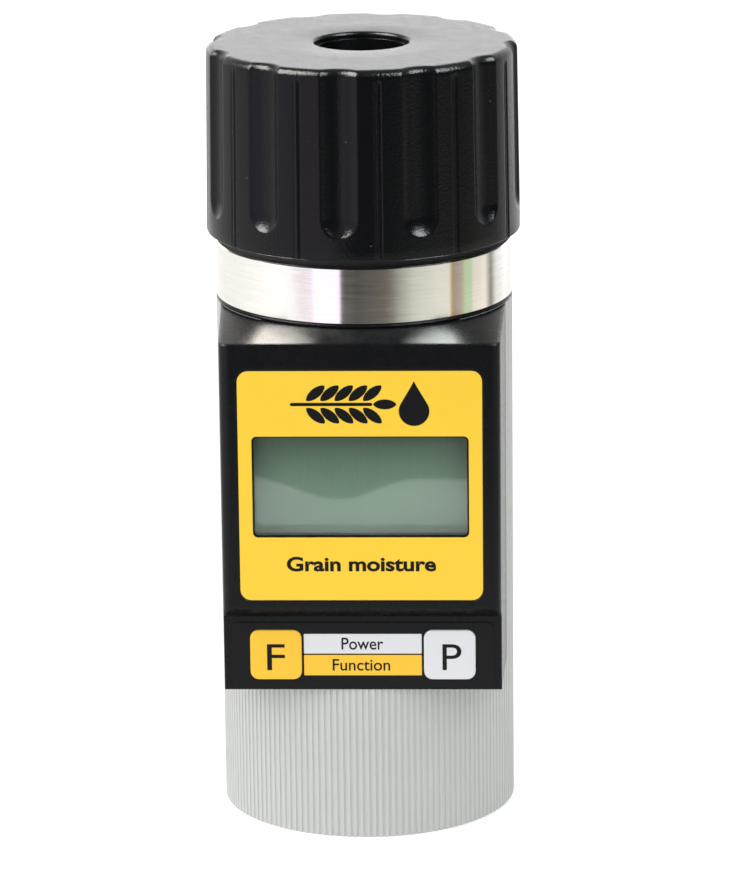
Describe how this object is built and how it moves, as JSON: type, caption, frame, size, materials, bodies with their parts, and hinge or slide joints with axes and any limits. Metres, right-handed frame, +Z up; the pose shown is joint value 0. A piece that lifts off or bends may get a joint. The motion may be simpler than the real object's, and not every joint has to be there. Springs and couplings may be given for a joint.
{
  "type": "grain moisture meter",
  "caption": "Hand-held grain moisture meter: ribbed round body, flat front casing with display and two keys, metal measuring cup and fluted screw cap with sprung plunger.",
  "frame": {"origin": "centre of the flat base that the meter stands on", "axes": "+Z up along the round body's axis, -Y out of the display and keys, +X to the right for someone who reads the display"},
  "size_m": [0.08, 0.0812, 0.2],
  "materials": {
    "tube_plastic": "matte, fine moulded texture",
    "casing_plastic": "satin, fine spark texture",
    "cap_plastic": "semi-gloss moulded",
    "label_print": "printed satin film",
    "overlay_print": "printed satin film",
    "key_yellow": "smooth satin",
    "key_white": "smooth satin",
    "clear_lens": "clear",
    "lcd_cell": "grey-green reflective",
    "cup_metal": "fine turned finish",
    "steel": "bright zinc",
    "spring_steel": "drawn wire",
    "brass": "machined",
    "insulator": "moulded",
    "rubber": "soft matte",
    "foam": "closed-cell foam",
    "board": "solder mask",
    "chip": "moulded epoxy",
    "wire": "soft insulation",
    "battery_case": "printed can"
  },
  "bodies": {
    "meter": {"body_tube": "tube_plastic", "base_plate": "casing_plastic", "base_screws": "steel", "battery_box": "casing_plastic", "battery": "battery_case", "battery_snap": "rubber", "battery_leads": "wire", "front_casing": "casing_plastic", "casing_screws": "steel", "face_label": "label_print", "display_lens": "clear_lens", "lcd_glass": "lcd_cell", "lcd_frame": "insulator", "zebra_strips": "rubber", "main_board": "board", "board_screws": "steel", "board_chips": "chip", "key_switches": "chip", "keypad_overlay": "overlay_print", "measuring_cup": "cup_metal", "neck_ring": "casing_plastic", "neck_seal": "rubber", "cell_floor": "insulator", "cell_ring_nut": "brass", "centre_electrode": "cup_metal", "electrode_nut": "brass", "electrode_washer": "brass", "electrode_lead": "wire", "temperature_sensor": "steel"},
    "key_left": {"key_f": "key_yellow"},
    "key_right": {"key_p": "key_white"},
    "battery_hatch": {"battery_door": "casing_plastic", "door_pad": "foam"},
    "cap_guide": {"plunger_guide": "cap_plastic", "press_spring": "spring_steel"},
    "plunger": {"plunger_stem": "steel", "pressure_plate": "cup_metal", "indicator_disc": "cap_plastic", "indicator_screw": "steel"},
    "cap": {"cap_shell": "cap_plastic", "thread_sleeve": "casing_plastic", "guide_retainer": "casing_plastic"}
  },
  "joints": [
    {"name": "cap_lift", "type": "slide", "parent": "meter", "child": "cap_guide", "axis": [0, 0, 1], "range_m": [0, 0.024]},
    {"name": "cap_turn", "type": "hinge", "parent": "cap_guide", "child": "cap", "pos_m": [0, 0, 0.176], "axis": [0, 0, 1], "range_deg": [0, 1440]},
    {"name": "plunger_press", "type": "slide", "parent": "cap_guide", "child": "plunger", "axis": [0, 0, 1], "range_m": [0, 0.006], "stiffness_N_per_m": 2000, "springref_m": -0.004, "deforming": ["press_spring"]},
    {"name": "key_f_press", "type": "slide", "parent": "meter", "child": "key_left", "axis": [0, 1, 0], "range_m": [0, 0.0006], "stiffness_N_per_m": 800},
    {"name": "key_p_press", "type": "slide", "parent": "meter", "child": "key_right", "axis": [0, 1, 0], "range_m": [0, 0.0006], "stiffness_N_per_m": 800},
    {"name": "hatch_hinge", "type": "hinge", "parent": "meter", "child": "battery_hatch", "pos_m": [0, 0.0244, 0.0014], "axis": [1, 0, 0], "range_deg": [0, 95]}
  ],
  "couplings": [
    {"joint": "cap_lift", "follows": "cap_turn", "m_per_rad": 0.00095493}
  ]
}
